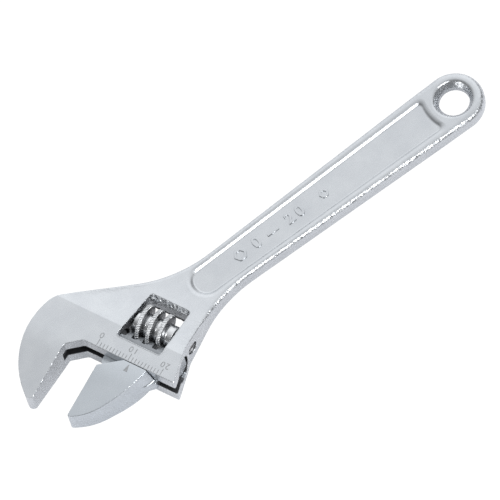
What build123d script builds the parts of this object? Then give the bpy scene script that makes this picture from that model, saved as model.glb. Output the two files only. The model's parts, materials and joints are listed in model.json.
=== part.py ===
from build123d import *
import os
from math import cos, pi, radians, sin, sqrt

# An adjustable wrench, nominal length 150 mm, opening 0 to 20 mm.
# Millimetres. The origin is the centre of the hang hole, half way through the thickness.
# +X runs from the hang hole to the head, +Y to the movable jaw's side, +Z out of the marked face.
# Head features are given as (v, u): v runs from the hang hole towards the jaw tips,
# u across the jaws in the opening direction. The (v, u) axes are X and Y turned by JAW_ANGLE.

# Driving dimensions
JAW_ANGLE = 22.5
HEAD_HALF = 5.3
HANDLE_HALF = 2.7
END_RADIUS = 8.4
HANDLE_TAPER = 1.4
OPENING = 11.0
JAW_TIP_RADIUS = 1.3

# Fixed jaw and head outline, (v, u)
FIXED_FACE_U = -55.55
FIXED_FACE_V = 112.1
OUTER_CENTRE = (110.25, -43.6)
OUTER_RADIUS = 23.85
SHOULDER = (100.7, -65.3)
SHOULDER_ANGLE = 28.0
SHOULDER_RADIUS = 3.0
GUIDE_V = 108.75
GUIDE_LEFT_U = -51.5
GUIDE_RIGHT_U = -22.85
SIDE_U = -25.65
SIDE_V = 98.3
SIDE_RADIUS = 6.0
UPPER_WAIST_RADIUS = 42.0
LOWER_WAIST_RADIUS = 45.0
HANDLE_EDGE_ROUND = 1.7
RIM_MAX_ACROSS = 0.97
RIM_MAX_UPRIGHT = 0.5

# Thickness along v
NECK_START_V = 72.0
NECK_END_V = 100.5
NECK_SPLIT_V = 99.0
JAW_TAPER_V = 110.0
JAW_TAPER_ANGLE = 6.6
JAW_TAPER_BLEND = 50.0
PROFILE_START_V = -20.0
PROFILE_END_V = 140.0

# Hang hole and the recessed panels
HANG_RADIUS = 4.25
HANG_CHAMFER = 1.35
HANG_CHAMFER_DEPTH = 1.85
PANEL_X0 = 7.1
PANEL_X1 = 87.5
PANEL_HALF_0 = 5.6
PANEL_HALF_1 = 4.4
PANEL_FLOOR = 2.05
PANEL_DRAFT = 30.0
PANEL_CORNER = 1.0
PANEL_END_BOW = 0.8
PANEL_CUT = 1.6

# Window, rail bore and guide slot, (v, u)
WINDOW = [(88.6, -42.95), (88.6, -30.5), (103.3, -30.5), (103.3, -44.3)]
WINDOW_CORNER = 0.9
RAIL_V = 102.3
BORE_RADIUS = 3.6
RAIL_RADIUS = 3.52
SLOT_HALF = 1.65
WEB_HALF = 1.55
SLOT_END_U = -56.8
SLOT_END_V = 113.8

# Knurl (worm), pin and spring
KNURL_V = 95.6
KNURL_RADIUS = 5.8
KNURL_ROOT = 3.85
KNURL_LEFT_U = -43.12
KNURL_RIGHT_U = -31.2
KNURL_BORE = 1.4
KNURL_CHAMFER = 0.35
THREAD_PITCH = 3.25
THREAD_TURNS = 2.6
THREAD_START_U = -42.0
THREAD_START_DEG = -50.0
THREAD_CREST_HALF = 0.55
THREAD_ROOT_HALF = 0.9
THREAD_SINK = 0.3
SPRING_POCKET_RADIUS = 2.7
SPRING_POCKET_DEPTH = 4.0
PIN_RADIUS = 1.34
PIN_HOLE_RADIUS = 1.37
PIN_HEAD_RADIUS = 1.75
PIN_HEAD_LENGTH = 3.1
PIN_RECESS = 0.45
PIN_LEFT_U = -48.0
PIN_SLOT_WIDTH = 0.6
PIN_SLOT_DEPTH = 0.7
SPRING_RADIUS = 2.05
SPRING_WIRE = 0.22
SPRING_TURNS = 3.5
SPRING_GAP = 0.05

# Movable jaw, (v, u)
JAW_SEAT_V = 108.85
JAW_FACE_V = 113.35
JAW_SEAT_LEFT_U = -38.5
JAW_SEAT_RIGHT_U = -31.3
JAW_BACK = [(115.8, -33.45), (121.4, -36.15)]
JAW_TIP_ARC = (126.3, -39.7)
JAW_TIP_V = 130.0
WEB_LEFT_U = -45.5
WEB_RIGHT_U = -28.5
WEB_NOTCH_V = 110.4
WEB_NOTCH_RISE = 1.0
WEB_TOP_V = 115.35
WEB_TOP_RIGHT_U = -33.5
WEB_SHOULDER_V = 109.85
HEEL_HALF = 4.7
HEEL_V = 114.3
HEEL_INNER_U = -34.0
HEEL_MIDDLE_V = 110.05
HEEL_OUTER_U = -31.5
HEEL_OUTER_STEP = (109.35, -31.7)
HEEL_OUTER_V = 110.35
RAIL_LEFT_U = -45.5
RAIL_RIGHT_U = -25.5
RACK_TOP_V = 99.6
RACK_FLOOR_V = 101.6
RACK_SIDE_GAP = 0.2
RACK_SPACES = range(-2, 5)
CUT_OVERLAP = 0.1
CUT_PAST = 1.0

FAR = 200.0


def head(shape):
    """Turn a shape drawn with X along v and Y along u into the part's own frame."""
    return Rot(0, 0, JAW_ANGLE) * shape


def head_point(v, u):
    """A point of the head in the part's own X and Y."""
    a = radians(JAW_ANGLE)
    return (v * cos(a) - u * sin(a), v * sin(a) + u * cos(a))


def meet(p, p_angle, q, q_angle):
    """Where two lines meet, each given by a point and an angle in degrees."""
    px, py = cos(radians(p_angle)), sin(radians(p_angle))
    qx, qy = cos(radians(q_angle)), sin(radians(q_angle))
    along = ((q[0] - p[0]) * qy - (q[1] - p[1]) * qx) / (px * qy - py * qx)
    return (p[0] + along * px, p[1] + along * py)


def outer_v(u):
    """The v at which the fixed jaw's outer arc reaches u, on the tip's side."""
    return OUTER_CENTRE[0] + sqrt(OUTER_RADIUS ** 2 - (u - OUTER_CENTRE[1]) ** 2)


def vertex_near(shape, point):
    """The vertex of a flat face that is nearest to a point."""
    return shape.vertices().sort_by_distance(Vector(*point))[0]


def round_corner(shape, point, radius):
    """Round one corner of a flat face."""
    return fillet(vertex_near(shape, point), radius)


def body_outline():
    """The forging's outline: handle, neck, head and fixed jaw."""
    taper = radians(HANDLE_TAPER)
    end_x, end_y = END_RADIUS * sin(taper), END_RADIUS * cos(taper)
    upper_end, lower_end = (end_x, -end_y), (end_x, end_y)
    shoulder = head_point(*SHOULDER)
    side_corner = head_point(SIDE_V, SIDE_U)
    upper_waist = meet(upper_end, HANDLE_TAPER, shoulder, 180 - SHOULDER_ANGLE)
    lower_waist = meet(lower_end, -HANDLE_TAPER, side_corner, JAW_ANGLE)
    arc_middle = head_point(OUTER_CENTRE[0], OUTER_CENTRE[1] - OUTER_RADIUS)
    tip = head_point(outer_v(FIXED_FACE_U), FIXED_FACE_U)
    face_root = head_point(FIXED_FACE_V, FIXED_FACE_U)
    guide_left = head_point(GUIDE_V, GUIDE_LEFT_U)
    guide_right = head_point(GUIDE_V, GUIDE_RIGHT_U)
    edges = [
        ThreePointArc(lower_end, (-END_RADIUS, 0), upper_end),
        Line(upper_end, upper_waist),
        Line(upper_waist, shoulder),
        ThreePointArc(shoulder, arc_middle, tip),
        Polyline(tip, face_root, guide_left, guide_right, side_corner, lower_waist, lower_end),
    ]
    outline = make_face(edges)
    outline = round_corner(outline, upper_waist, UPPER_WAIST_RADIUS)
    outline = round_corner(outline, lower_waist, LOWER_WAIST_RADIUS)
    outline = round_corner(outline, side_corner, SIDE_RADIUS)
    outline = round_corner(outline, shoulder, SHOULDER_RADIUS)
    outline = round_corner(outline, tip, JAW_TIP_RADIUS)
    return outline


def thickness_envelope():
    """A solid as thick as the wrench is at each v: handle, rising neck, head, tapering jaws."""
    rise = HEAD_HALF - HANDLE_HALF
    run = NECK_END_V - NECK_START_V
    neck_radius = (run ** 2 + rise ** 2) / (2 * rise)
    half_angle = radians(JAW_TAPER_ANGLE)
    middle_v = NECK_START_V + run / 2
    middle_z = HANDLE_HALF + neck_radius - sqrt(neck_radius ** 2 - (run / 2) ** 2)
    blend_v = JAW_TAPER_V + JAW_TAPER_BLEND * sin(half_angle)
    blend_z = HEAD_HALF - JAW_TAPER_BLEND * (1 - cos(half_angle))
    blend_middle_v = JAW_TAPER_V + JAW_TAPER_BLEND * sin(half_angle / 2)
    blend_middle_z = HEAD_HALF - JAW_TAPER_BLEND * (1 - cos(half_angle / 2))
    end_z = blend_z - (PROFILE_END_V - blend_v) * sin(half_angle) / cos(half_angle)
    end, foot = (PROFILE_END_V, 0), (PROFILE_START_V, 0)
    top = [
        Line((PROFILE_START_V, HANDLE_HALF), (NECK_START_V, HANDLE_HALF)),
        ThreePointArc((NECK_START_V, HANDLE_HALF), (middle_v, middle_z), (NECK_END_V, HEAD_HALF)),
        Line((NECK_END_V, HEAD_HALF), (JAW_TAPER_V, HEAD_HALF)),
        ThreePointArc((JAW_TAPER_V, HEAD_HALF), (blend_middle_v, blend_middle_z), (blend_v, blend_z)),
        Line((blend_v, blend_z), (PROFILE_END_V, end_z)),
        Polyline((PROFILE_END_V, end_z), end, foot, (PROFILE_START_V, HANDLE_HALF)),
    ]
    profile = Plane.XZ * make_face(top)
    upper = extrude(profile, FAR, both=True)
    return head(upper + mirror(upper, Plane.XY))


def panel_cutter():
    """The recess in the upper face, with sloping walls and an end that follows the hang hole."""
    corner_0, corner_1 = (PANEL_X0, -PANEL_HALF_0), (PANEL_X0, PANEL_HALF_0)
    far_x = PANEL_X1 - PANEL_HALF_1
    edges = [
        ThreePointArc(corner_0, (PANEL_X0 + PANEL_END_BOW, 0), corner_1),
        Line(corner_1, (far_x, PANEL_HALF_1)),
        ThreePointArc((far_x, PANEL_HALF_1), (PANEL_X1, 0), (far_x, -PANEL_HALF_1)),
        Line((far_x, -PANEL_HALF_1), corner_0),
    ]
    outline = make_face(edges)
    outline = round_corner(outline, corner_0, PANEL_CORNER)
    outline = round_corner(outline, corner_1, PANEL_CORNER)
    return Pos(0, 0, PANEL_FLOOR) * extrude(outline, PANEL_CUT, taper=-PANEL_DRAFT)


def rod(v, z, radius, u0, u1):
    """A cylinder along u between u0 and u1, in the head's axes."""
    return Pos(v, (u0 + u1) / 2, z) * Rot(90, 0, 0) * Cylinder(radius, abs(u1 - u0))


def block(v0, v1, u0, u1, half):
    """A box in the head's axes, centred on the mid-plane."""
    return Pos((v0 + v1) / 2, (u0 + u1) / 2, 0) * Box(abs(v1 - v0), abs(u1 - u0), 2 * half)


def window_cutter():
    """The opening that holds the knurl, through both faces."""
    outline = make_face(Polyline(*WINDOW, close=True))
    outline = fillet(outline.vertices(), WINDOW_CORNER)
    return extrude(outline, FAR, both=True)


def is_rim(edge):
    """An edge between a face and the side wall, not one that runs across the handle."""
    u_axis = Vector(-sin(radians(JAW_ANGLE)), cos(radians(JAW_ANGLE)), 0)
    along = edge % 0.5
    return abs(along.dot(u_axis)) < RIM_MAX_ACROSS and abs(along.Z) < RIM_MAX_UPRIGHT


def forging_blank():
    """The outline at its full thickness, with a well rounded handle and crisp jaws."""
    blank = extrude(body_outline(), 2 * HEAD_HALF, both=True) & thickness_envelope()
    neck = blank & head(block(-FAR, NECK_SPLIT_V, -FAR, FAR, FAR))
    jaws = blank & head(block(NECK_SPLIT_V, FAR, -FAR, FAR, FAR))
    neck = fillet(neck.edges().filter_by(is_rim), HANDLE_EDGE_ROUND)
    return neck + jaws


def make_handle_body():
    """Handle, head and fixed jaw in one forging."""
    body = forging_blank() - Cylinder(HANG_RADIUS, FAR)
    for side in (1, -1):
        wide = HANG_RADIUS + HANG_CHAMFER
        cone = Cone(HANG_RADIUS, wide, HANG_CHAMFER_DEPTH)
        cone = Pos(0, 0, HANDLE_HALF - HANG_CHAMFER_DEPTH / 2) * cone
        panel = panel_cutter()
        if side < 0:
            cone = mirror(cone, Plane.XY)
            panel = mirror(panel, Plane.XY)
        body -= cone
        body -= panel
    body -= head(window_cutter())
    body -= head(rod(RAIL_V, 0, BORE_RADIUS, SLOT_END_U, 0))
    body -= head(block(RAIL_V, SLOT_END_V, SLOT_END_U, 0, SLOT_HALF))
    body -= head(rod(KNURL_V, 0, PIN_HOLE_RADIUS, PIN_LEFT_U, 0))
    head_seat_u = SIDE_U - PIN_RECESS - PIN_HEAD_LENGTH
    body -= head(rod(KNURL_V, 0, PIN_HEAD_RADIUS, head_seat_u, 0))
    return body


def knurl_u(degrees_round):
    """Where the thread's crest is along u, by the angle from the handle's side of the knurl."""
    return THREAD_START_U + THREAD_PITCH * (degrees_round - THREAD_START_DEG) / 360


def make_knurl():
    """The worm: a core with a right-handed thread about +u, a bore and a spring pocket."""
    core = rod(KNURL_V, 0, KNURL_ROOT, KNURL_LEFT_U, KNURL_RIGHT_U)
    core = chamfer(core.edges(), KNURL_CHAMFER)
    path = Helix(THREAD_PITCH, THREAD_PITCH * THREAD_TURNS, KNURL_ROOT)
    depth = KNURL_RADIUS - KNURL_ROOT
    profile = Polyline(
        (-THREAD_SINK, -THREAD_ROOT_HALF),
        (depth, -THREAD_CREST_HALF),
        (depth, THREAD_CREST_HALF),
        (-THREAD_SINK, THREAD_ROOT_HALF),
        close=True,
    )
    start = Plane(origin=path @ 0, x_dir=(1, 0, 0), z_dir=(0, -1, 0))
    thread = sweep(start * make_face(profile), path=path, is_frenet=True)
    thread = Pos(KNURL_V, THREAD_START_U, 0) * Rot(-90, 0, 0) * Rot(0, 0, 180 + THREAD_START_DEG) * thread
    knurl = core + thread
    knurl -= rod(KNURL_V, 0, KNURL_BORE, KNURL_LEFT_U - CUT_PAST, KNURL_RIGHT_U + CUT_PAST)
    pocket_u = KNURL_RIGHT_U - SPRING_POCKET_DEPTH
    knurl -= rod(KNURL_V, 0, SPRING_POCKET_RADIUS, pocket_u, KNURL_RIGHT_U + CUT_PAST)
    return head(knurl)


def make_knurl_pin():
    """The screw pin that the knurl turns on, slotted at its outer end."""
    outer_u = SIDE_U - PIN_RECESS
    seat_u = outer_u - PIN_HEAD_LENGTH
    pin = rod(KNURL_V, 0, PIN_HEAD_RADIUS, seat_u, outer_u)
    pin += rod(KNURL_V, 0, PIN_RADIUS, PIN_LEFT_U, seat_u)
    slot_v0, slot_v1 = KNURL_V - 2 * PIN_HEAD_RADIUS, KNURL_V + 2 * PIN_HEAD_RADIUS
    pin -= block(slot_v0, slot_v1, outer_u - PIN_SLOT_DEPTH, outer_u + CUT_PAST, PIN_SLOT_WIDTH / 2)
    return head(pin)


def make_spring():
    """The small compression spring between the knurl and the window's wall."""
    left_u = KNURL_RIGHT_U - SPRING_POCKET_DEPTH + SPRING_WIRE + SPRING_GAP
    right_u = WINDOW[1][1] - SPRING_WIRE - SPRING_GAP
    length = right_u - left_u
    path = Helix(length / SPRING_TURNS, length, SPRING_RADIUS)
    wire = Plane(origin=path @ 0, z_dir=path % 0) * Circle(SPRING_WIRE)
    coil = sweep(wire, path=path, is_frenet=True)
    return head(Pos(KNURL_V, left_u, 0) * Rot(-90, 0, 0) * coil)


def jaw_block():
    """The movable jaw above its web, tapered like the fixed jaw."""
    face_u = FIXED_FACE_U + OPENING
    tip = (JAW_TIP_V, face_u)
    edges = [
        Polyline(tip, (JAW_FACE_V, face_u), (JAW_SEAT_V, JAW_SEAT_LEFT_U), (JAW_SEAT_V, JAW_SEAT_RIGHT_U)),
        ThreePointArc((JAW_SEAT_V, JAW_SEAT_RIGHT_U), JAW_BACK[0], JAW_BACK[1]),
        ThreePointArc(JAW_BACK[1], JAW_TIP_ARC, tip),
    ]
    outline = round_corner(make_face(edges), tip, JAW_TIP_RADIUS / 2)
    slab = extrude(outline, 2 * HEAD_HALF, both=True)
    return head(slab) & thickness_envelope()


def jaw_heel():
    """The swelling that carries the load from the jaw's back into the web."""
    middle = Polyline(
        (JAW_SEAT_V, HEEL_INNER_U),
        (JAW_SEAT_V, WEB_RIGHT_U),
        (HEEL_MIDDLE_V, WEB_RIGHT_U),
        (HEEL_V, HEEL_INNER_U),
        close=True,
    )
    outer = Polyline(
        (JAW_SEAT_V, HEEL_INNER_U),
        (JAW_SEAT_V, HEEL_OUTER_U),
        HEEL_OUTER_STEP,
        (HEEL_OUTER_V, HEEL_INNER_U),
        close=True,
    )
    half = loft([make_face(middle), Pos(0, 0, HEEL_HALF) * make_face(outer)], ruled=True)
    return head(half + mirror(half, Plane.XY))


def rack_cutters():
    """The flat on top of the rail and the tooth spaces, slanted to the thread's lead."""
    cutters = block(KNURL_V, RACK_TOP_V, RAIL_LEFT_U - CUT_PAST, RAIL_RIGHT_U + CUT_PAST, BORE_RADIUS)
    lead_angle = 180 / pi * THREAD_PITCH / (2 * pi * (KNURL_ROOT + KNURL_RADIUS) / 2)
    floor_half = THREAD_CREST_HALF + RACK_SIDE_GAP
    top_half = THREAD_ROOT_HALF + RACK_SIDE_GAP
    space = Polyline(
        (RACK_FLOOR_V, -floor_half),
        (RACK_FLOOR_V, floor_half),
        (RACK_TOP_V - CUT_OVERLAP, top_half),
        (RACK_TOP_V - CUT_OVERLAP, -top_half),
        close=True,
    )
    cutter = Rot(lead_angle, 0, 0) * extrude(make_face(space), 2 * BORE_RADIUS, both=True)
    for step in RACK_SPACES:
        cutters += Pos(0, knurl_u(180) + step * THREAD_PITCH, 0) * cutter
    return cutters


def make_movable_jaw():
    """Jaw, web and round rail with its rack, in one forging."""
    rail = rod(RAIL_V, 0, RAIL_RADIUS, RAIL_LEFT_U, RAIL_RIGHT_U) - rack_cutters()
    face_u = FIXED_FACE_U + OPENING
    web = Polyline(
        (RAIL_V, WEB_LEFT_U),
        (WEB_NOTCH_V, WEB_LEFT_U),
        (WEB_NOTCH_V + WEB_NOTCH_RISE, face_u),
        (WEB_TOP_V, face_u),
        (WEB_TOP_V, WEB_TOP_RIGHT_U),
        (WEB_SHOULDER_V, WEB_RIGHT_U),
        (RAIL_V, WEB_RIGHT_U),
        close=True,
    )
    web = extrude(make_face(web), WEB_HALF, both=True)
    lower = web + rail
    jaw = jaw_block() + jaw_heel() + head(lower)
    return jaw


PARTS = {
    "handle_body": make_handle_body,
    "movable_jaw": make_movable_jaw,
    "knurl": make_knurl,
    "knurl_pin": make_knurl_pin,
    "spring": make_spring,
}

os.makedirs("parts", exist_ok=True)
for name, make in PARTS.items():
    export_step(make(), f"parts/{name}.step")
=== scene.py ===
import json
import math
import bpy
import numpy as np
from mathutils import Matrix, Vector

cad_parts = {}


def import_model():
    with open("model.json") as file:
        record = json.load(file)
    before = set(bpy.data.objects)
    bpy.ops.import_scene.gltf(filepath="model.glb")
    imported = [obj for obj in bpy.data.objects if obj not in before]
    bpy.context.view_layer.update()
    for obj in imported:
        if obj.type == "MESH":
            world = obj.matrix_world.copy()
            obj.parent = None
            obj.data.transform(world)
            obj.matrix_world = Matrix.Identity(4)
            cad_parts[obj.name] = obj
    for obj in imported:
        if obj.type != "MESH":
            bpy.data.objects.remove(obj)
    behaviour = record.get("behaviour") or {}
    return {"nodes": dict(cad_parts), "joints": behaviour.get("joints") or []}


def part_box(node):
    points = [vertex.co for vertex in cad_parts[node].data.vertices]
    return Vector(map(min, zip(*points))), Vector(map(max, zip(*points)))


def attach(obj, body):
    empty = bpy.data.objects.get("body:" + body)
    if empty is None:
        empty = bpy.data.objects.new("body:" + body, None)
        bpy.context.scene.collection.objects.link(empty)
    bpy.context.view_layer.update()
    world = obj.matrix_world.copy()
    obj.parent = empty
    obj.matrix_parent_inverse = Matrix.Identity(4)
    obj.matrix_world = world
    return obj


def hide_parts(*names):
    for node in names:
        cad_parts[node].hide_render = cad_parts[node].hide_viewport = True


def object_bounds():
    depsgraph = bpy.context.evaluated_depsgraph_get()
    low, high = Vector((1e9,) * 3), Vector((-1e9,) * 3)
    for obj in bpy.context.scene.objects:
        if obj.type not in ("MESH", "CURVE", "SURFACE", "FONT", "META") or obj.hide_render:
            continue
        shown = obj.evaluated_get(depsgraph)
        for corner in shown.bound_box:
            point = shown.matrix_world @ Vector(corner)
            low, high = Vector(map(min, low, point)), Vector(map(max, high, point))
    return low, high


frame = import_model()
cad_low, cad_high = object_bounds()

MM = 0.001
CRISP_DEG = 17
BATCH = 400000

# ---------------------------------------------------------------- what the frame says
joints = {j["name"]: j for j in frame["joints"]}
slide_axis = joints["jaw_slide"]["axis"]
knurl_pos = joints["knurl_spin"]["pos_m"]
COS_A, SIN_A = slide_axis[1], -slide_axis[0]
HEAD_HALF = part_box("handle_body")[1].z / MM
KNURL_V = (knurl_pos[0] * COS_A + knurl_pos[1] * SIN_A) / MM
KNURL_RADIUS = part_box("knurl")[1].z / MM
JAW_OPENING = 11.0

# ---------------------------------------------------------------- dimensions, millimetres
# Handle and head
HANDLE_HALF = 2.7
END_RADIUS = 8.4
HANDLE_TAPER = 1.4
NECK_START_V = 72.0
NECK_END_V = 100.5
JAW_TAPER_V = 110.0
JAW_TAPER_ANGLE = 6.6
JAW_TAPER_BLEND = 50.0
RIM_ROUND = 1.75
RIM_FADE_V = (82.0, 100.0)
END_EXTRA = 0.2
HEAD_ROUND = 0.0
WAVE_LENGTH = 4.5
WAVE_DEPTH = 0.012
WAVE_INSET = 3.0
WAVE_FADE_V = (84, 100)

# Head outline, (v, u), v along the jaws and u across them
FIXED_FACE_U = -55.55
FIXED_FACE_V = 112.1
OUTER_CENTRE = (110.25, -43.6)
OUTER_RADIUS = 23.78
OUTER_START_DEG = -107.0
OUTER_END_DEG = -36.2
SHOULDER = (100.7, -65.3)
SHOULDER_ANGLE = 28.0
GUIDE_V = 108.75
GUIDE_LEFT_U = -51.5
GUIDE_RIGHT_U = -22.85
SIDE_V = 98.3
SIDE_U = -25.65

# Rounding of the outline's corners
UPPER_WAIST_ROUND = 42.0
LOWER_WAIST_ROUND = 45.0
SHOULDER_ROUND = 8.0
TIP_ROUND = 1.3
FACE_ROOT_ROUND = 0.4
GUIDE_LEFT_ROUND = 1.2
GUIDE_RIGHT_ROUND = 0.4
SIDE_ROUND = 6.0

# Hang hole and panel
HANG_RADIUS = 4.25
HANG_FLARE = 1.35
HANG_FLARE_START = 0.85
HANG_FLARE_DEPTH = 1.85
HANG_EDGE = 0.5
PANEL_FLOOR = 2.05
PANEL_WALL_RUN = 1.5
PANEL_BOW_CENTRE_X = -5.2
PANEL_BOW_RADIUS = 13.6
PANEL_EDGE = 0.35

# Window, bore and slot, (v, u)
WINDOW = [(88.6, -42.95), (88.6, -30.5), (103.3, -30.5), (103.3, -44.3)]
WINDOW_CORNER = 0.9
WINDOW_TOP_V = 88.6
WINDOW_TOP_U = -36.72
WINDOW_TOP_HALF = 6.2
WINDOW_TOP_REACH = 3
WINDOW_DRAFT = 0.62
WINDOW_DRAFT_Z = 2.05
WINDOW_EDGE = 0.22
WINDOW_ROUGH = 0.05
WINDOW_ROUGH_WAVE = 1.3
RAIL_V = 102.3
BORE_RADIUS = 3.6
BORE_EDGE = 0.15
RAIL_RADIUS = 3.3
RAIL_MIDDLE_U = -35.5
RAIL_REACH = 9.98
SLOT_HALF = 1.65
WEB_HALF = 1.5
SLOT_END_U = -56.8
SLOT_END_V = 113.8
PIN_HOLE_RADIUS = 1.95
PIN_SEAT_U = -30.0

# Knurl
KNURL_ROOT = 3.5
KNURL_LEFT_U = -43.1
KNURL_RIGHT_U = -31.22
THREAD_PITCH = 3.25
THREAD_TURNS = 2.6
THREAD_START_U = -42.0
THREAD_START_DEG = -50.0
THREAD_CREST_HALF = 0.6
THREAD_FLANK = 0.15
THREAD_FADE = 0.1
SERRATIONS = 50
SERRATION_DEPTH = 0.3
SERRATION_SLANT = 3.6
THREAD_SINK = 0.3
CREST_RISE = 0.28
KNURL_BORE = 1.4
POCKET_RADIUS = 2.7
POCKET_DEPTH = 4.0

# Movable jaw, (v, u)
FACE_CLEARANCE = 0.05
MOVING_FACE_U = FIXED_FACE_U + JAW_OPENING + FACE_CLEARANCE
SEAT_V = 108.85
RACK_TOP_V = 99.6
RACK_FLOOR_V = 101.6
RACK_SPACES = (-2, 4)
RACK_SPACE_HALF = 0.74
RACK_SPACE_SLOPE = 0.11
JAW_EDGE = 0.22
HEEL_HALF = 4.7
HEEL_SWELL = 2.75
HEEL_END_V = 116.0
HEEL_RISE_U = (-37.0, -32.5)

# Scale and pointer, (v, u)
SCALE_ZERO_U = -47.5
SCALE_V = 108.45
TICK_SHORT = 1.3
TICK_LONG = 2.1
TICK_WIDTH = 0.22
DIGIT_HEIGHT = 1.75
DIGIT_V = 105.2
MARK_RISE = 0.012
MARK_SINK = 0.08
POINTER = [(109.3, -36.5), (111.7, -37.1), (111.7, -35.9)]
POINTER_V = 110.5

# Marks in the handle's panel
PANEL_MARK_Y = -0.3
MARK_HEIGHT = 0.3
MARK_DEPTH = 0.2
MARK_BEVEL = 0.08
MARK_SPREAD = 1.45
MARK_BOLD = 0.08
PANEL_MARKS = (("0", 66.5, 3.3), ("\u2013", 61.2, 4.5), ("20", 53.6, 3.3))


# ---------------------------------------------------------------- plane outlines
def head_xy(v, u):
    """A point given along the jaws and across them, in the frame's x and y."""
    return (v * COS_A - u * SIN_A, v * SIN_A + u * COS_A)


def head_vu(x, y):
    """Points of the frame's x and y, along the jaws and across them."""
    return x * COS_A + y * SIN_A, -x * SIN_A + y * COS_A


def link(thing):
    """Put an object in the scene."""
    bpy.context.scene.collection.objects.link(thing)


def meet(p, p_deg, q, q_deg):
    """Where two lines meet, each given by a point and an angle in degrees."""
    a, b = math.radians(p_deg), math.radians(q_deg)
    cross = math.cos(a) * math.sin(b) - math.sin(a) * math.cos(b)
    along = ((q[0] - p[0]) * math.sin(b) - (q[1] - p[1]) * math.cos(b)) / cross
    return (p[0] + along * math.cos(a), p[1] + along * math.sin(a))


def arc_corner(first, middle, last, share=0.8):
    """The corner (x, y, radius) whose rounding follows the arc through three points."""
    (ax, ay), (bx, by), (cx, cy) = first, middle, last
    d = 2 * (ax * (by - cy) + bx * (cy - ay) + cx * (ay - by))
    aa, bb, cc = ax * ax + ay * ay, bx * bx + by * by, cx * cx + cy * cy
    ox = (aa * (by - cy) + bb * (cy - ay) + cc * (ay - by)) / d
    oy = (aa * (cx - bx) + bb * (ax - cx) + cc * (bx - ax)) / d
    start = math.degrees(math.atan2(ay - oy, ax - ox)) + 90
    end = math.degrees(math.atan2(cy - oy, cx - ox)) + 90
    corner = meet(first, start, last, end)
    return (*corner, share * math.hypot(ax - ox, ay - oy))


def outline(corners):
    """Lines and arcs of a closed outline, from corners (x, y, rounding radius)."""
    points = np.array([c[:2] for c in corners], float)
    nxt = np.roll(points, -1, 0)
    if np.sum(points[:, 0] * nxt[:, 1] - nxt[:, 0] * points[:, 1]) < 0:
        corners = corners[::-1]
        points = points[::-1]
    ends, arcs = [], []
    for i, p in enumerate(points):
        to_last = points[i - 1] - p
        to_next = points[(i + 1) % len(points)] - p
        to_last /= np.linalg.norm(to_last)
        to_next /= np.linalg.norm(to_next)
        half = 0.5 * math.acos(float(np.clip(to_last @ to_next, -1, 1)))
        radius = corners[i][2]
        reach = radius / math.tan(half)
        middle = to_last + to_next
        centre = p + middle / np.linalg.norm(middle) * radius / math.sin(half)
        turn = to_next[0] * to_last[1] - to_next[1] * to_last[0]
        start, end = p + to_last * reach, p + to_next * reach
        ends.append((start, end))
        arcs.append((centre, radius, start - centre, end - centre, 1.0 if turn > 0 else -1.0))
    lines = [(ends[i - 1][1], ends[i][0]) for i in range(len(ends))]
    return lines, arcs


def outline_distance(shape, x, y):
    """Distance to an outline, negative inside."""
    lines, arcs = shape
    best = np.full(x.shape, 1e9)
    signed = best.copy()
    for a, b in lines:
        edge = b - a
        length = math.hypot(*edge)
        if length < 1e-6:
            continue
        ex, ey = edge / length
        dx, dy = x - a[0], y - a[1]
        along = np.clip(dx * ex + dy * ey, 0, length)
        d = np.hypot(dx - along * ex, dy - along * ey)
        side = np.where(dx * ey - dy * ex > 0, d, -d)
        near = d < best
        best = np.where(near, d, best)
        signed = np.where(near, side, signed)
    for centre, radius, a, b, turn in arcs:
        dx, dy = x - centre[0], y - centre[1]
        within = (turn * (a[0] * dy - a[1] * dx) >= 0) & (turn * (dx * b[1] - dy * b[0]) >= 0)
        off = np.hypot(dx, dy) - radius
        near = within & (np.abs(off) < best)
        best = np.where(near, np.abs(off), best)
        signed = np.where(near, turn * off, signed)
    return signed


def body_outline():
    """The forging's outline: handle end, shoulder, fixed jaw, guide and side of the head."""
    taper = math.radians(HANDLE_TAPER)
    top = (END_RADIUS * math.sin(taper), -END_RADIUS * math.cos(taper))
    foot = (top[0], -top[1])
    end_y = END_RADIUS * math.tan(math.radians(45 + HANDLE_TAPER / 2))
    shoulder = head_xy(*SHOULDER)
    side = head_xy(SIDE_V, SIDE_U)
    jaw_deg = math.degrees(math.atan2(SIN_A, COS_A))
    upper_waist = meet(top, HANDLE_TAPER, shoulder, 180 - SHOULDER_ANGLE)
    lower_waist = meet(foot, -HANDLE_TAPER, side, jaw_deg)

    def on_arc(deg, reach=OUTER_RADIUS):
        a = math.radians(deg)
        v, u = OUTER_CENTRE
        return head_xy(v + reach * math.cos(a), u + reach * math.sin(a))

    quarter = (OUTER_END_DEG - OUTER_START_DEG) / 4
    reach = OUTER_RADIUS / math.cos(math.radians(quarter))
    start_tangent = OUTER_START_DEG + 90 + jaw_deg
    end_tangent = OUTER_END_DEG + 90 + jaw_deg
    shoulder_corner = meet(on_arc(OUTER_START_DEG), start_tangent, shoulder, 180 - SHOULDER_ANGLE)
    face_root = head_xy(FIXED_FACE_V, FIXED_FACE_U)
    tip = meet(on_arc(OUTER_END_DEG), end_tangent, face_root, jaw_deg)
    return outline([
        (-END_RADIUS, end_y, END_RADIUS),
        (-END_RADIUS, -end_y, END_RADIUS),
        (*upper_waist, UPPER_WAIST_ROUND),
        (*shoulder_corner, SHOULDER_ROUND),
        (*on_arc(OUTER_START_DEG + quarter, reach), OUTER_RADIUS),
        (*on_arc(OUTER_END_DEG - quarter, reach), OUTER_RADIUS),
        (*tip, TIP_ROUND),
        (*face_root, FACE_ROOT_ROUND),
        (*head_xy(GUIDE_V, GUIDE_LEFT_U), GUIDE_LEFT_ROUND),
        (*head_xy(GUIDE_V, GUIDE_RIGHT_U), GUIDE_RIGHT_ROUND),
        (*side, SIDE_ROUND),
        (*lower_waist, LOWER_WAIST_ROUND),
    ])


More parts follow.
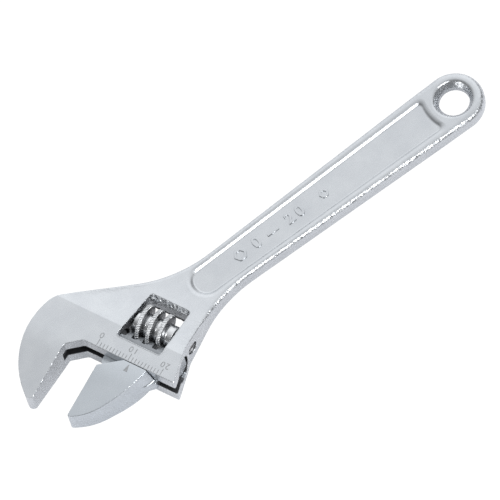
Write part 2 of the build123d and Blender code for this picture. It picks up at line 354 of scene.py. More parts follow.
def jaw_outline():
    """The movable jaw's outline above its web, (v, u)."""
    seat_right = (SEAT_V, -31.3)
    back_end = (121.4, -36.15)
    tip = (130.0, MOVING_FACE_U)
    back = arc_corner(seat_right, (115.8, -33.45), back_end)
    nose = arc_corner(back_end, (126.3, -39.7), tip)
    return outline([
        (*tip, 0.65),
        (113.35, MOVING_FACE_U, 0.5),
        (SEAT_V, -38.5, 0.5),
        (*seat_right, 0.3),
        back,
        nose,
    ])


# ---------------------------------------------------------------- solids as distance fields
def both(a, b, radius=0.0):
    """The part inside two fields, its edge rounded."""
    if np.isscalar(radius) and radius == 0:
        return np.maximum(a, b)
    corner = np.hypot(np.maximum(a + radius, 0), np.maximum(b + radius, 0))
    return np.minimum(-radius, np.maximum(a, b)) + corner


def either(a, b, radius=0.0):
    """The part inside one field or the other, its inner corner rounded."""
    return -both(-a, -b, radius)


def without(a, b, radius=0.0):
    """A field with another cut out of it, the edge rounded."""
    return both(a, -b, radius)


def ramp(x, low, high):
    """0 below low, 1 above high, smooth between."""
    t = np.clip((x - low) / (high - low), 0, 1)
    return t * t * (3 - 2 * t)


def ripple(x, y, z, wave, seed):
    """A smooth wobble between about -1 and 1, a sum of a few waves in fixed directions."""
    draw = np.random.default_rng(seed)
    total = 0
    for _ in range(5):
        way = draw.normal(size=3)
        way *= 2 * math.pi / (wave * draw.uniform(0.7, 1.5)) / np.linalg.norm(way)
        total = total + np.sin(x * way[0] + y * way[1] + z * way[2] + draw.uniform(0, 6.28))
    return total / 3


def half_thickness(v):
    """Half the wrench's thickness along v: handle, rising neck, head, tapering jaws."""
    rise = HEAD_HALF - HANDLE_HALF
    run = NECK_END_V - NECK_START_V
    radius = (run ** 2 + rise ** 2) / (2 * rise)
    up = np.clip(v - NECK_START_V, 0, run * 1.4)
    neck = HANDLE_HALF + radius - np.sqrt(radius ** 2 - up ** 2)
    angle = math.radians(JAW_TAPER_ANGLE)
    down = np.clip(v - JAW_TAPER_V, 0, JAW_TAPER_BLEND * math.sin(angle))
    past = np.maximum(v - JAW_TAPER_V - JAW_TAPER_BLEND * math.sin(angle), 0)
    head = HEAD_HALF - JAW_TAPER_BLEND + np.sqrt(JAW_TAPER_BLEND ** 2 - down ** 2)
    return np.minimum(neck, head - past * math.tan(angle))


BODY = body_outline()
JAW = jaw_outline()
WEB = outline([
    (RAIL_V, -45.5, 0.2),
    (110.4, -45.5, 0.4),
    (111.4, MOVING_FACE_U, 0.3),
    (115.0, MOVING_FACE_U + 0.6, 0.3),
    (115.0, -33.6, 0.5),
    (109.85, -28.6, 0.6),
    (RAIL_V, -28.6, 0.2),
])
PANEL = outline([(6.0, -4.85, 0.5), (6.0, 4.85, 0.5), (87.0, 3.75, 3.6), (87.0, -3.75, 3.6)])
WINDOW_SHAPE = outline([(*p, WINDOW_CORNER) for p in WINDOW])


def panel_field(x, y, z):
    """The recess in one face, up to its sloping walls. z is measured from the mid-plane."""
    bow = PANEL_BOW_RADIUS - np.hypot(x - PANEL_BOW_CENTRE_X, y)
    floor_edge = both(outline_distance(PANEL, x, y), bow, 1.3)
    wall = (floor_edge - PANEL_WALL_RUN * (z - PANEL_FLOOR)) / math.hypot(1, PANEL_WALL_RUN)
    return both(wall, PANEL_FLOOR - z, 0.12)


def bore_field(v, z):
    """The round bore that the movable jaw's rail slides in, along its whole line."""
    return np.hypot(v - RAIL_V, z) - BORE_RADIUS


def slot_field(v, u, deep):
    """The guide slot for the movable jaw's web."""
    return both(both(deep - SLOT_HALF, SLOT_END_U - u), both(RAIL_V - v, v - SLOT_END_V))


def body_field(x, y, z):
    """The forging: handle, head and fixed jaw."""
    v, u = head_vu(x, y)
    deep = np.abs(z)
    rim = RIM_ROUND + (HEAD_ROUND - RIM_ROUND) * ramp(v, *RIM_FADE_V)
    rim = rim + END_EXTRA * (1 - ramp(x, 1.0, 9.0))
    field = both(outline_distance(BODY, x, y), deep - half_thickness(v), rim)
    wave = WAVE_DEPTH * (WAVE_INSET + ripple(x, y, z, WAVE_LENGTH, 11))
    field = field + wave * (1 - ramp(v, *WAVE_FADE_V))
    flare = HANG_FLARE * np.clip((deep - HANG_FLARE_START) / HANG_FLARE_DEPTH, 0, 1.2)
    field = without(field, (np.hypot(x, y) - HANG_RADIUS - flare) * 0.85, HANG_EDGE)
    field = without(field, panel_field(x, y, deep), PANEL_EDGE)
    rough = WINDOW_ROUGH * ripple(x, y, z, WINDOW_ROUGH_WAVE, 5)
    draft = WINDOW_DRAFT * np.maximum(z - WINDOW_DRAFT_Z, 0)
    forged = both(WINDOW_TOP_V - draft - v, v - WINDOW_TOP_V - WINDOW_TOP_REACH)
    forged = both(forged * 0.91, np.abs(u - WINDOW_TOP_U) - WINDOW_TOP_HALF, 0.8)
    window = either(outline_distance(WINDOW_SHAPE, v, u), forged)
    field = without(field, window + rough, WINDOW_EDGE)
    bore = both(bore_field(v, z), SLOT_END_U - u)
    field = without(field, either(bore, slot_field(v, u, deep), 0.2), BORE_EDGE)
    pin = both(np.hypot(v - KNURL_V, z) - PIN_HOLE_RADIUS, PIN_SEAT_U - u)
    return without(field, pin, BORE_EDGE)


def heel_flare(v, u, deep):
    """How far the movable jaw's back swells out towards its web, most at mid-thickness."""
    return (HEEL_SWELL * (1 - np.clip(deep / HEEL_HALF, 0, 1))
            * (1 - ramp(v, SEAT_V + 0.5, HEEL_END_V)) * ramp(u, *HEEL_RISE_U))


def rack_field(v, u, z):
    """The rail with the teeth that the knurl's thread runs in."""
    rail = np.hypot(v - RAIL_V, z) - RAIL_RADIUS
    rail = both(rail, np.abs(u - RAIL_MIDDLE_U) - RAIL_REACH, 0.1)
    rail = both(rail, RACK_TOP_V - v, 0.2)
    lead = math.atan(THREAD_PITCH / (math.pi * (KNURL_ROOT + KNURL_RADIUS)))
    first = THREAD_START_U + THREAD_PITCH * (180 - THREAD_START_DEG) / 360
    slanted = (u - first) * math.cos(lead) + z * math.sin(lead)
    step = np.clip(np.round(slanted / THREAD_PITCH), *RACK_SPACES)
    off = np.abs(slanted - step * THREAD_PITCH)
    half = RACK_SPACE_HALF + (RACK_FLOOR_V - v) * RACK_SPACE_SLOPE
    space = both(off - half, v - RACK_FLOOR_V, 0.25)
    return without(rail, space, 0.1)


def jaw_field(x, y, z):
    """The movable jaw with its web, heel and rack."""
    v, u = head_vu(x, y)
    deep = np.abs(z)
    side = outline_distance(JAW, v, u - heel_flare(v, u, deep))
    field = both(side, deep - half_thickness(v), JAW_EDGE)
    web = both(outline_distance(WEB, v, u), deep - WEB_HALF, 0.1)
    field = either(field, web, 0.35)
    return either(field, rack_field(v, u, z), 0.3)


def along_thread(v, u, z):
    """At points: turns round the worm, turns along its thread, and distance along u from its crest."""
    turn = (np.degrees(np.arctan2(z, KNURL_V - v)) - THREAD_START_DEG) / 360
    lap = np.round((u - THREAD_START_U) / THREAD_PITCH - turn)
    return turn, turn + lap, u - THREAD_START_U - THREAD_PITCH * (turn + lap)


def knurl_field(x, y, z):
    """The worm: core, right-handed thread with serrated crests, bore and spring pocket."""
    v, u = head_vu(x, y)
    rho = np.hypot(v - KNURL_V, z)
    turn, along, off = along_thread(v, u, z)
    height = ramp(along, -0.5 * THREAD_FADE, THREAD_FADE)
    last = ramp(along, THREAD_TURNS - THREAD_FADE, THREAD_TURNS + 0.5 * THREAD_FADE)
    height = height * (1 - last)
    teeth = 0.5 + 0.5 * np.cos(2 * math.pi * turn * SERRATIONS + SERRATION_SLANT * off)
    crest = KNURL_ROOT - THREAD_SINK + (KNURL_RADIUS + CREST_RISE - KNURL_ROOT) * height
    crest = crest - SERRATION_DEPTH * teeth ** 2
    flank = np.abs(off) - THREAD_CREST_HALF - THREAD_FLANK * (KNURL_RADIUS - rho)
    ridge = both(flank * 0.97, rho - crest, 0.16)
    middle = 0.5 * (KNURL_LEFT_U + KNURL_RIGHT_U)
    ends = np.abs(u - middle) - 0.5 * (KNURL_RIGHT_U - KNURL_LEFT_U)
    field = either(rho - KNURL_ROOT, ridge, 0.45)
    field = both(field, ends, 0.3)
    pocket = both(rho - POCKET_RADIUS, KNURL_RIGHT_U - POCKET_DEPTH - u)
    return without(field, either(rho - KNURL_BORE, pocket), 0.1)


# ---------------------------------------------------------------- from a field to a mesh
def sample(field, low, high, step):
    """The field on a grid, exact near the surface and coarse elsewhere."""
    coarse = 4
    counts = [int(math.ceil((h - l) / (step * coarse))) + 1 for l, h in zip(low, high)]
    axes = [l + step * coarse * (np.arange(n) + 0.5) - 0.5 * step for l, n in zip(low, counts)]
    grid = np.meshgrid(*axes, indexing="ij")
    centre = field(*grid)
    values = centre.astype(np.float32)
    for axis in range(3):
        values = np.repeat(values, coarse, axis)
    near = np.argwhere(np.abs(centre) < step * coarse * 1.25)
    inner = np.stack(np.meshgrid(*[np.arange(coarse)] * 3, indexing="ij"), -1).reshape(-1, 3)
    points = (near[:, None] * coarse + inner[None]).reshape(-1, 3)
    where = np.asarray(low) + points * step
    parts = np.array_split(where, 1 + len(where) // BATCH)
    values[tuple(points.T)] = np.concatenate([field(*part.T) for part in parts])
    return values


def surface_net(values):
    """Vertices, in grid steps, and faces of the surface where the values change sign."""
    inside = values < 0
    part = [slice(None, -1), slice(1, None)]
    total = sum(inside[part[i], part[j], part[k]].astype(np.uint8)
                for i in (0, 1) for j in (0, 1) for k in (0, 1))
    cells = np.argwhere((total > 0) & (total < 8))
    number = np.full(total.shape, -1, np.int64)
    number[tuple(cells.T)] = np.arange(len(cells))
    place = np.zeros((len(cells), 3))
    hits = np.zeros(len(cells))
    for axis in range(3):
        others = [a for a in range(3) if a != axis]
        for i in (0, 1):
            for j in (0, 1):
                start = np.zeros(3, int)
                start[others[0]], start[others[1]] = i, j
                end = start.copy()
                end[axis] = 1
                a = values[tuple((cells + start).T)]
                b = values[tuple((cells + end).T)]
                crossed = (a < 0) != (b < 0)
                at = np.where(crossed, a / np.where(crossed, a - b, 1), 0)
                spot = start + at[:, None] * (end - start)
                place += np.where(crossed[:, None], spot, 0)
                hits += crossed
    vertices = cells + place / hits[:, None]
    faces = []
    for axis in range(3):
        b, c = (axis + 1) % 3, (axis + 2) % 3
        here = [slice(1, -1)] * 3
        there = [slice(1, -1)] * 3
        here[axis], there[axis] = slice(0, -1), slice(1, None)
        change = inside[tuple(here)] != inside[tuple(there)]
        edges = np.argwhere(change)
        edges[:, b] += 1
        edges[:, c] += 1
        ring = []
        for shift_b, shift_c in ((-1, -1), (0, -1), (0, 0), (-1, 0)):
            cell = edges.copy()
            cell[:, b] += shift_b
            cell[:, c] += shift_c
            ring.append(number[tuple(cell.T)])
        quads = np.stack(ring, 1)
        flip = ~inside[tuple(edges.T)]
        quads[flip] = quads[flip][:, ::-1]
        faces.append(quads)
    return vertices, np.concatenate(faces)


def gradient(field, points, reach=0.03):
    """The field's slope at points."""
    out = []
    for axis in range(3):
        step = np.zeros(3)
        step[axis] = reach
        out.append((field(*(points + step).T) - field(*(points - step).T)) / (2 * reach))
    return np.stack(out, 1)


def build_mesh(name, vertices, faces):
    """A mesh from arrays, all faces with the same number of corners."""
    mesh = bpy.data.meshes.new(name)
    sides = faces.shape[1]
    mesh.vertices.add(len(vertices))
    mesh.vertices.foreach_set("co", np.asarray(vertices, np.float32).ravel())
    mesh.loops.add(faces.size)
    mesh.loops.foreach_set("vertex_index", faces.astype(np.int32).ravel())
    mesh.polygons.add(len(faces))
    mesh.polygons.foreach_set("loop_start", np.arange(0, faces.size, sides, dtype=np.int32))
    mesh.update(calc_edges=True)
    mesh.validate()
    return mesh


def solid(name, field, node, step, keep, body, material, masks=None):
    """A finished piece: the field's surface in place of a CAD node, thinned out where it is flat."""
    low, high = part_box(node)
    low = np.array(low) / MM - 3 * step
    high = np.array(high) / MM + 3 * step
    net, faces = surface_net(sample(field, low, high, step))
    piece = bpy.data.objects.new(name, build_mesh(name, (low + net * step) * MM, faces))
    link(piece)
    thin = piece.modifiers.new("thin", "DECIMATE")
    thin.ratio = keep
    graph = bpy.context.evaluated_depsgraph_get()
    mesh = bpy.data.meshes.new_from_object(piece.evaluated_get(graph), depsgraph=graph)
    piece.modifiers.clear()
    piece.data = mesh
    mesh.name = name
    points = np.zeros(len(mesh.vertices) * 3, np.float32)
    mesh.vertices.foreach_get("co", points)
    points = points.reshape(-1, 3).astype(float) / MM
    for _ in range(2):
        slope = gradient(field, points)
        size = np.maximum(np.sum(slope * slope, 1), 0.2)
        move = field(*points.T)[:, None] * slope / size[:, None]
        points -= np.clip(move, -0.5 * step, 0.5 * step)
    mesh.vertices.foreach_set("co", (points * MM).astype(np.float32).ravel())
    mesh.polygons.foreach_set("use_smooth", np.ones(len(mesh.polygons), bool))
    slope = gradient(field, points)
    slope /= np.maximum(np.linalg.norm(slope, axis=1), 1e-6)[:, None]
    mesh.update()
    corners = np.zeros(len(mesh.loops), np.int32)
    mesh.loops.foreach_get("vertex_index", corners)
    sides = np.zeros(len(mesh.polygons), np.int32)
    mesh.polygons.foreach_get("loop_total", sides)
    owner = np.repeat(np.arange(len(mesh.polygons)), sides)
    flat = np.zeros(len(mesh.polygons) * 3, np.float32)
    mesh.polygons.foreach_get("normal", flat)
    flat = flat.reshape(-1, 3)[owner]
    smooth = slope[corners]
    crisp = np.sum(flat * smooth, 1) < math.cos(math.radians(CRISP_DEG))
    smooth[crisp] = flat[crisp]
    mesh.normals_split_custom_set(smooth.tolist())
    for key, values in (masks(*points.T) if masks else {}).items():
        layer = mesh.attributes.new(key, "FLOAT", "POINT")
        layer.data.foreach_set("value", values.astype(np.float32))
    mesh.materials.append(material)
    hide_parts(node)
    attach(piece, body)
    return piece


# ---------------------------------------------------------------- materials
# Near-black colour that stands in for shade in gaps and recesses: painted shade.
SHADE_BLACK = (0.09, 0.09, 0.095, 1)


def new_material(name):
    """A material with its node tree, shader and a helper that adds and joins nodes."""
    material = bpy.data.materials.new(name)
    material.use_nodes = True
    nodes, links = material.node_tree.nodes, material.node_tree.links
    shader = nodes["Principled BSDF"]
    where = nodes.new("ShaderNodeTexCoord").outputs["Object"]

    def add(kind, settings=None, **inputs):
        node = nodes.new(kind)
        for key, value in (settings or {}).items():
            setattr(node, key, value)
        for key, value in inputs.items():
            numbered = key[0] == "i" and key[1:].isdigit()
            socket = node.inputs[int(key[1:]) if numbered else key]
            if isinstance(value, bpy.types.NodeSocket):
                links.new(value, socket)
            else:
                socket.default_value = value
        return node

    return material, shader, links, add, where


def noise(add, where, size_mm, detail=3.0, rough=0.5):
    """Fractal noise with features of about a size in millimetres."""
    scale = 1 / (size_mm * MM)
    node = add("ShaderNodeTexNoise", Vector=where, Scale=scale, Detail=detail, Roughness=rough)
    return node.outputs["Fac"]


def span(add, value, low, high, out_low, out_high):
    """A value rescaled from one range to another."""
    node = add("ShaderNodeMapRange", i0=value, i1=low, i2=high, i3=out_low, i4=out_high)
    return node.outputs[0]


def mul(add, a, b):
    """Two values multiplied."""
    return add("ShaderNodeMath", {"operation": "MULTIPLY"}, i0=a, i1=b).outputs[0]


def plus(add, a, b):
    """Two values added."""
    return add("ShaderNodeMath", {"operation": "ADD"}, i0=a, i1=b).outputs[0]


def attribute(add, name):
    """A value that the mesh carries at each vertex."""
    return add("ShaderNodeAttribute", {"attribute_name": name}).outputs["Fac"]


def mix(add, share, first, second):
    """One colour passing into another."""
    return add("ShaderNodeMix", {"data_type": "RGBA"}, i0=share, i6=first, i7=second).outputs[2]


def plated(name, light, dark, gloss, grain, grain_mm, tint_mm=6.0):
    """Plated steel: drifting colour and gloss, fine grain, shallow wobbles, dents, and painted shade
    where a mask darkens it towards near-black.
    """
    material, shader, links, add, where = new_material(name)
    skin = attribute(add, "skin")
    soil = attribute(add, "soil")
    drift = noise(add, where, tint_mm, 4.0, 0.6)
    fine = noise(add, where, grain_mm, 3.0, 0.6)
    wobble = noise(add, where, 1.6, 2.0, 0.5)
    tone = mix(add, span(add, drift, 0.3, 0.7, 0, 1), light, dark)
    # Painted shade: the mask mixes the colour towards near-black in gaps and recesses, and also roughens
    # them.
    links.new(mix(add, soil, tone, SHADE_BLACK), shader.inputs["Base Color"])
    shader.inputs["Metallic"].default_value = 1.0
    patchy = span(add, fine, 0.3, 0.7, gloss[0], gloss[1])
    links.new(plus(add, patchy, mul(add, soil, 0.25)), shader.inputs["Roughness"])
    height = mul(add, plus(add, mul(add, fine, grain), mul(add, wobble, 0.6 * grain)), skin)
    hammer = attribute(add, "hammer")
    dents = mul(add, noise(add, where, 0.75, 2.5, 0.55), 0.3)
    height = plus(add, height, mul(add, dents, hammer))
    bump = add("ShaderNodeBump", Height=height, Strength=1.0, Distance=MM)
    links.new(bump.outputs[0], shader.inputs["Normal"])
    return material


def turned_steel(name, colour, gloss):
    """Bare turned steel: fine tool marks and a little oil stain."""
    material, shader, links, add, where = new_material(name)
    stain = noise(add, where, 0.9, 4.0, 0.65)
    marks = noise(add, where, 0.18, 2.0, 0.5)
    dark = tuple(0.45 * c for c in colour[:3]) + (1,)
    tone = mix(add, span(add, stain, 0.35, 0.65, 0, 1), colour, dark)
    links.new(tone, shader.inputs["Base Color"])
    shader.inputs["Metallic"].default_value = 1.0
    links.new(span(add, stain, 0.3, 0.7, gloss, gloss + 0.2), shader.inputs["Roughness"])
    bump = add("ShaderNodeBump", Height=marks, Strength=1.0, Distance=0.02 * MM)
    links.new(bump.outputs[0], shader.inputs["Normal"])
    return material


def mark_paint(name, colour):
    """The dull grey in the stamped scale, worn thin in spots."""
    material, shader, links, add, where = new_material(name)
    worn = noise(add, where, 0.35, 3.0, 0.6)
    pale = tuple(min(1.0, 1.6 * c) for c in colour[:3]) + (1,)
    tone = mix(add, span(add, worn, 0.4, 0.75, 0, 1), colour, pale)
    links.new(tone, shader.inputs["Base Color"])
    links.new(span(add, worn, 0.3, 0.7, 0.5, 0.8), shader.inputs["Roughness"])
    return material


# ---------------------------------------------------------------- masks for the finishes
def body_masks(x, y, z):
    """How strongly the grain (skin), the painted shade and the dents (hammer) show on the forging; the
    painted shade darkens the slot, the bore, the lower window wall and, a little, the hang hole.
    """
    v, u = head_vu(x, y)
    deep = np.abs(z)
    inside_panel = ramp(-panel_field(x, y, deep), -0.35, -0.02)
    rim = 1 - ramp(v, 88, 101)
    edge = ramp(outline_distance(BODY, x, y), -RIM_ROUND, -0.3)
    window = ramp(-outline_distance(WINDOW_SHAPE, v, u), -0.5, 0.05)
    hole = 1 - ramp(np.hypot(x, y), 4.9, 6.2)
    bore = ramp(-bore_field(v, z), -0.2, 0.0) * (u > SLOT_END_U - 0.3) * (deep < 3.5)
    slot = ramp(-slot_field(v, u, deep), -0.12, 0.0)
    low_wall = window * ramp(-z, 1.9, 2.3)
    skin = 0.04 + 0.3 * inside_panel + 0.2 * rim * edge + 0.5 * window
    wall = ramp(-(outline_distance(BODY, x, y) + 0.05), 0.0, 0.25)
    hammer = np.clip(rim * edge * (0.25 + 0.75 * wall) + 0.8 * window + 0.45 * hole, 0, 1)
    # Painted shade: near-black in the slot gap, the bore and the lower half of the window wall, a trace
    # in the hang hole.
    soil = np.clip(0.92 * slot + 0.75 * bore + 0.08 * hole + 0.97 * low_wall, 0, 1)
    return {"skin": np.clip(skin, 0, 1), "soil": soil, "hammer": hammer}


def jaw_masks(x, y, z):
    """The jaw is ground, its rack is darkened with painted shade, a little less at the rail's end, and
    the rail's end is sawn.
    """
    v, u = head_vu(x, y)
    rack = 1 - ramp(v, 103.5, 106.5)
    sawn = ramp(u, -25.9, -25.6) * rack
    # Painted shade over the rack, eased at the rail's sawn end.
    return {"skin": 0.15 + 0.5 * rack, "soil": 0.5 * rack - 0.2 * sawn, "hammer": 0.5 * rack + 0.5 * sawn}


def knurl_masks(x, y, z):
    """Painted shade on the thread's flanks and a little in its grooves, bright crests."""
    v, u = head_vu(x, y)
    rho = np.hypot(v - KNURL_V, z)
    low = 1 - ramp(rho, 3.8, 4.6)
    off = np.abs(along_thread(v, u, z)[2])
    flank = ramp(off, 0.5, 0.62) * (1 - ramp(off, 1.0, 1.25)) * ramp(rho, 3.7, 4.1)
    # Painted shade: the flanks darkened most, the grooves a little.
    soil = np.clip(0.12 * low + 0.6 * flank, 0, 1)
    return {"skin": np.full_like(rho, 0.25), "soil": soil, "hammer": np.full_like(rho, 0.12)}


chrome = plated("forged_chrome", (0.66, 0.68, 0.70, 1), (0.60, 0.62, 0.645, 1), (0.2, 0.34), 0.03, 0.45)
ground = plated("ground_chrome", (0.62, 0.655, 0.69, 1), (0.58, 0.615, 0.65, 1), (0.24, 0.36), 0.02, 0.3)
bright = plated("knurl_chrome", (0.86, 0.87, 0.88, 1), (0.7, 0.71, 0.72, 1), (0.08, 0.2), 0.03, 0.4, 2.0)

solid("forging", body_field, "handle_body", 0.2, 0.34, "body", chrome, body_masks)
solid("sliding_jaw", jaw_field, "movable_jaw", 0.14, 0.35, "jaw", ground, jaw_masks)
solid("worm", knurl_field, "knurl", 0.09, 0.6, "knurl", bright, knurl_masks)

for node, material in {
    "knurl_pin": turned_steel("pin_steel", (0.55, 0.55, 0.56, 1), 0.22),
    "spring": turned_steel("spring_steel", (0.3, 0.3, 0.31, 1), 0.3),
}.items():
    mesh = frame["nodes"][node].data
    for i in range(max(1, len(mesh.materials))):
        if i < len(mesh.materials):
            mesh.materials[i] = material
        else:
            mesh.materials.append(material)


# ---------------------------------------------------------------- marks
def place_mark(mesh_object, name, matrix, body, material):
    """Put a mark's mesh in place and have it ride on a body."""
    graph = bpy.context.evaluated_depsgraph_get()
    mesh = bpy.data.meshes.new_from_object(mesh_object.evaluated_get(graph), depsgraph=graph)
    mesh.transform(matrix)
    mesh.materials.clear()
    mesh.materials.append(material)
    piece = bpy.data.objects.new(name, mesh)
    link(piece)
    bpy.data.objects.remove(mesh_object)
    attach(piece, body)
    return piece


def text(words, height_mm, thick_mm, edge_mm, spread=1.2, bold_mm=0.0):
    """Numerals as a curve object, centred, in metres."""
    curve = bpy.data.curves.new(words, "FONT")
    curve.body = words
    curve.align_x = "CENTER"
    curve.align_y = "CENTER"
    curve.size = height_mm * MM / 0.7
    curve.extrude = thick_mm * MM
    curve.bevel_depth = edge_mm * MM
    curve.bevel_resolution = 2
    curve.resolution_u = 6
    curve.space_character = spread
    curve.offset = bold_mm * MM
    holder = bpy.data.objects.new(words, curve)
    link(holder)
    bpy.context.view_layer.update()
    return holder


def on_head(v, u, z, along=(0.0, -1.0), up=(1.0, 0.0)):
    """The matrix that lays a mark on the head: its x and y as (v, u) directions, its z outwards."""
    def turned(d):
        return Vector((*head_xy(*d), 0))
    x, y = turned(along), turned(up)
    m = Matrix((x, y, x.cross(y))).transposed().to_4x4()
    m.translation = Vector((*head_xy(v, u), z)) * MM
    return m


def prism(name, rings, z, body, material):
    """Thin prisms let into a face: each ring is a list of (v, u) corners."""
    vertices, faces = [], []
    for ring in rings:
        base, n = len(vertices), len(ring)
        for height in (z - MARK_SINK, z + MARK_RISE):
            vertices += [(*(c * MM for c in head_xy(v, u)), height * MM) for v, u in ring]
        faces.append([base + i for i in range(n)][::-1])
        faces.append([base + n + i for i in range(n)])
        for i in range(n):
            j = (i + 1) % n
            faces.append([base + i, base + j, base + n + j, base + n + i])
    mesh = bpy.data.meshes.new(name)
    mesh.from_pydata(vertices, [], faces)
    mesh.materials.append(material)
    piece = bpy.data.objects.new(name, mesh)
    link(piece)
    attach(piece, body)
    return piece


def on_panel(x):
    """The matrix that lays a mark on the panel floor, reading towards the hang hole."""
    m = Matrix.Diagonal((-1, -1, 1, 1))
    z = PANEL_FLOOR + MARK_HEIGHT - MARK_DEPTH - MARK_BEVEL
    m.translation = Vector((x, PANEL_MARK_Y, z)) * MM
    return m


def ring_on_panel(name, x, across, bar):
    """A hexagon outline lying on the panel floor, as a nut seen from above."""
    curve = bpy.data.curves.new(name, "CURVE")
    curve.dimensions = "2D"
    curve.fill_mode = "BOTH"
    for size, order in ((across, 1), (across - 2 * bar, -1)):
        spline = curve.splines.new("POLY")
        spline.points.add(5)
        for i in range(6):
            a = order * math.radians(60 * i)
            reach = size / math.sqrt(3) * MM
            spline.points[i].co = (reach * math.cos(a), reach * math.sin(a), 0, 1)
        spline.use_cyclic_u = True
    curve.extrude = MARK_DEPTH * MM
    curve.bevel_depth = MARK_BEVEL * MM
    curve.bevel_resolution = 2
    holder = bpy.data.objects.new(name, curve)
    link(holder)
    bpy.context.view_layer.update()
    place_mark(holder, name, on_panel(x), "body", chrome)


paint = mark_paint("scale_grey", (0.31, 0.32, 0.33, 1))
ticks = []
for i in range(21):
    left, right = SCALE_ZERO_U + i - TICK_WIDTH / 2, SCALE_ZERO_U + i + TICK_WIDTH / 2
    end_v = SCALE_V - (TICK_LONG if i % 10 == 0 else TICK_SHORT)
    ticks.append([(end_v, left), (end_v, right), (SCALE_V, right), (SCALE_V, left)])
prism("scale_ticks", ticks, HEAD_HALF, "body", paint)
for i, words in enumerate(("0", "10", "20")):
    numeral = text(words, DIGIT_HEIGHT, MARK_SINK, 0.0)
    matrix = on_head(DIGIT_V, SCALE_ZERO_U + 10 * i - 0.1, HEAD_HALF + MARK_RISE - MARK_SINK)
    place_mark(numeral, "scale_" + words, matrix, "body", paint)

pointer_z = float(half_thickness(np.array(POINTER_V)))
prism("jaw_pointer", [POINTER], pointer_z, "jaw", paint)

for i, (words, x, height) in enumerate(PANEL_MARKS):
    numeral = text(words, height, MARK_DEPTH, MARK_BEVEL, MARK_SPREAD, MARK_BOLD)
    place_mark(numeral, f"panel_mark_{i}", on_panel(x), "body", chrome)
ring_on_panel("panel_nut_large", 72.0, 3.3, 0.55)
ring_on_panel("panel_nut_small", 43.8, 2.4, 0.45)

# ---------------------------------------------------------------- camera
RIGHT = Vector((-0.79495505, 0.58856725, -0.14708864))
DOWN = Vector((0.58368234, 0.67590806, -0.44995914))
AHEAD = Vector((-0.16541282, -0.44355033, -0.88085283))
LOOK_AT = Vector((68.61, -0.57, 0.0)) * MM - RIGHT * 0.25 * MM
VIEW_WIDTH = 134.4 * MM
LENS = 1000.0
SENSOR = 36.0

camera = bpy.data.objects.new("camera", bpy.data.cameras.new("camera"))
camera.data.lens = LENS
camera.data.sensor_width = SENSOR
camera.data.clip_start = 0.05
camera.data.clip_end = 60
turn = Matrix((RIGHT, -DOWN, -AHEAD)).transposed().to_4x4()
turn.translation = LOOK_AT - AHEAD * (VIEW_WIDTH * LENS / SENSOR)
camera.matrix_world = turn
link(camera)
bpy.context.scene.camera = camera

# ---------------------------------------------------------------- floor and light
FLOOR_Z = cad_low.z
FLOOR_REACH = 12.0
FLOOR_SHADE = 0.85
FLOOR_GLOW = 0.2
FLOOR_WHITE = 1.1
FLOOR_CLEAN = 0.92
DARK_SIDE = (-0.95, 0.1, -0.25)
BRIGHT_SIDE = (-0.62, -0.62, 0.48)
WORLD_SHADES = [(0.0, 0.18), (1.0, 0.9), (0.35, 0.4), (0.65, 0.63), (0.8, 0.72), (0.93, 0.88)]
WORLD_STRENGTH = 1.35
LIGHTS = {
    "key": ((-0.17, 0.63, 0.77), 0.7, 0.28, 1.6),
    "fill": ((0.93, 0.32, 0.22), 0.8, 0.4, 1.6),
}


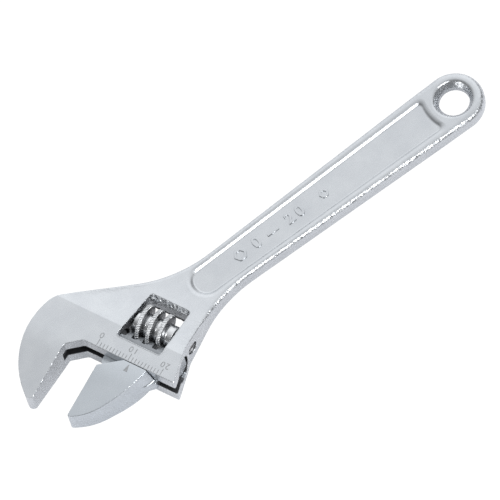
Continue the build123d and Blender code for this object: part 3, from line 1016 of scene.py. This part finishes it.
def floor():
    """A plain pale floor, white to the camera and greyer in the wrench's reflections."""
    mesh = bpy.data.meshes.new("floor")
    r = FLOOR_REACH
    corners = [(-r, -r, FLOOR_Z), (r, -r, FLOOR_Z), (r, r, FLOOR_Z), (-r, r, FLOOR_Z)]
    mesh.from_pydata(corners, [], [(0, 1, 2, 3)])
    material, shader, links, add, where = new_material("floor_white")
    shader.inputs["Base Color"].default_value = (FLOOR_SHADE, FLOOR_SHADE, FLOOR_SHADE * 1.03, 1)
    shader.inputs["Roughness"].default_value = 0.9
    shader.inputs["Emission Color"].default_value = (1, 1, 1, 1)
    shader.inputs["Emission Strength"].default_value = FLOOR_GLOW
    seen = add("ShaderNodeLightPath").outputs["Is Camera Ray"]
    white = add("ShaderNodeEmission", Color=(1, 1, 1, 1), Strength=FLOOR_WHITE)
    share = mul(add, seen, FLOOR_CLEAN)
    blend = add("ShaderNodeMixShader", i0=share, i1=shader.outputs[0], i2=white.outputs[0])
    links.new(blend.outputs[0], material.node_tree.nodes["Material Output"].inputs[0])
    mesh.materials.append(material)
    piece = bpy.data.objects.new("floor", mesh)
    link(piece)


def softbox(name, direction, distance, size, power):
    """A square area light that faces the wrench's middle."""
    light = bpy.data.lights.new(name, "AREA")
    light.size = size
    light.energy = power
    lamp = bpy.data.objects.new(name, light)
    way = Vector(direction).normalized()
    lamp.location = LOOK_AT + way * distance
    lamp.rotation_mode = "QUATERNION"
    lamp.rotation_quaternion = way.to_track_quat("Z", "Y")
    link(lamp)


def world():
    """An even studio: brightest low on the handle's far side, greyer overhead and at the horizon."""
    scene_world = bpy.data.worlds.new("studio")
    scene_world.use_nodes = True
    nodes, links = scene_world.node_tree.nodes, scene_world.node_tree.links
    where = nodes.new("ShaderNodeTexCoord")

    def towards(side):
        node = nodes.new("ShaderNodeVectorMath")
        node.operation = "DOT_PRODUCT"
        node.inputs[1].default_value = side
        links.new(where.outputs["Generated"], node.inputs[0])
        return node.outputs["Value"]

    shades = nodes.new("ShaderNodeValToRGB")
    stops = shades.color_ramp.elements
    for i, (position, shade) in enumerate(WORLD_SHADES):
        stop = stops[i] if i < 2 else stops.new(position)
        stop.position = position
        stop.color = (shade * 0.985, shade, shade * 1.02, 1)
    links.new(towards(BRIGHT_SIDE), shades.inputs[0])
    fade = nodes.new("ShaderNodeMapRange")
    for i, value in enumerate((0.55, 0.85, 1.0, 0.22)):
        fade.inputs[i + 1].default_value = value
    links.new(towards(DARK_SIDE), fade.inputs[0])
    shaded = nodes.new("ShaderNodeMix")
    shaded.data_type = "RGBA"
    shaded.blend_type = "MULTIPLY"
    shaded.inputs[0].default_value = 1.0
    links.new(shades.outputs[0], shaded.inputs[6])
    links.new(fade.outputs[0], shaded.inputs[7])
    links.new(shaded.outputs[2], nodes["Background"].inputs[0])
    nodes["Background"].inputs[1].default_value = WORLD_STRENGTH
    bpy.context.scene.world = scene_world


floor()
world()
for name, settings in LIGHTS.items():
    softbox(name, *settings)
bpy.context.scene.view_settings.view_transform = "Standard"
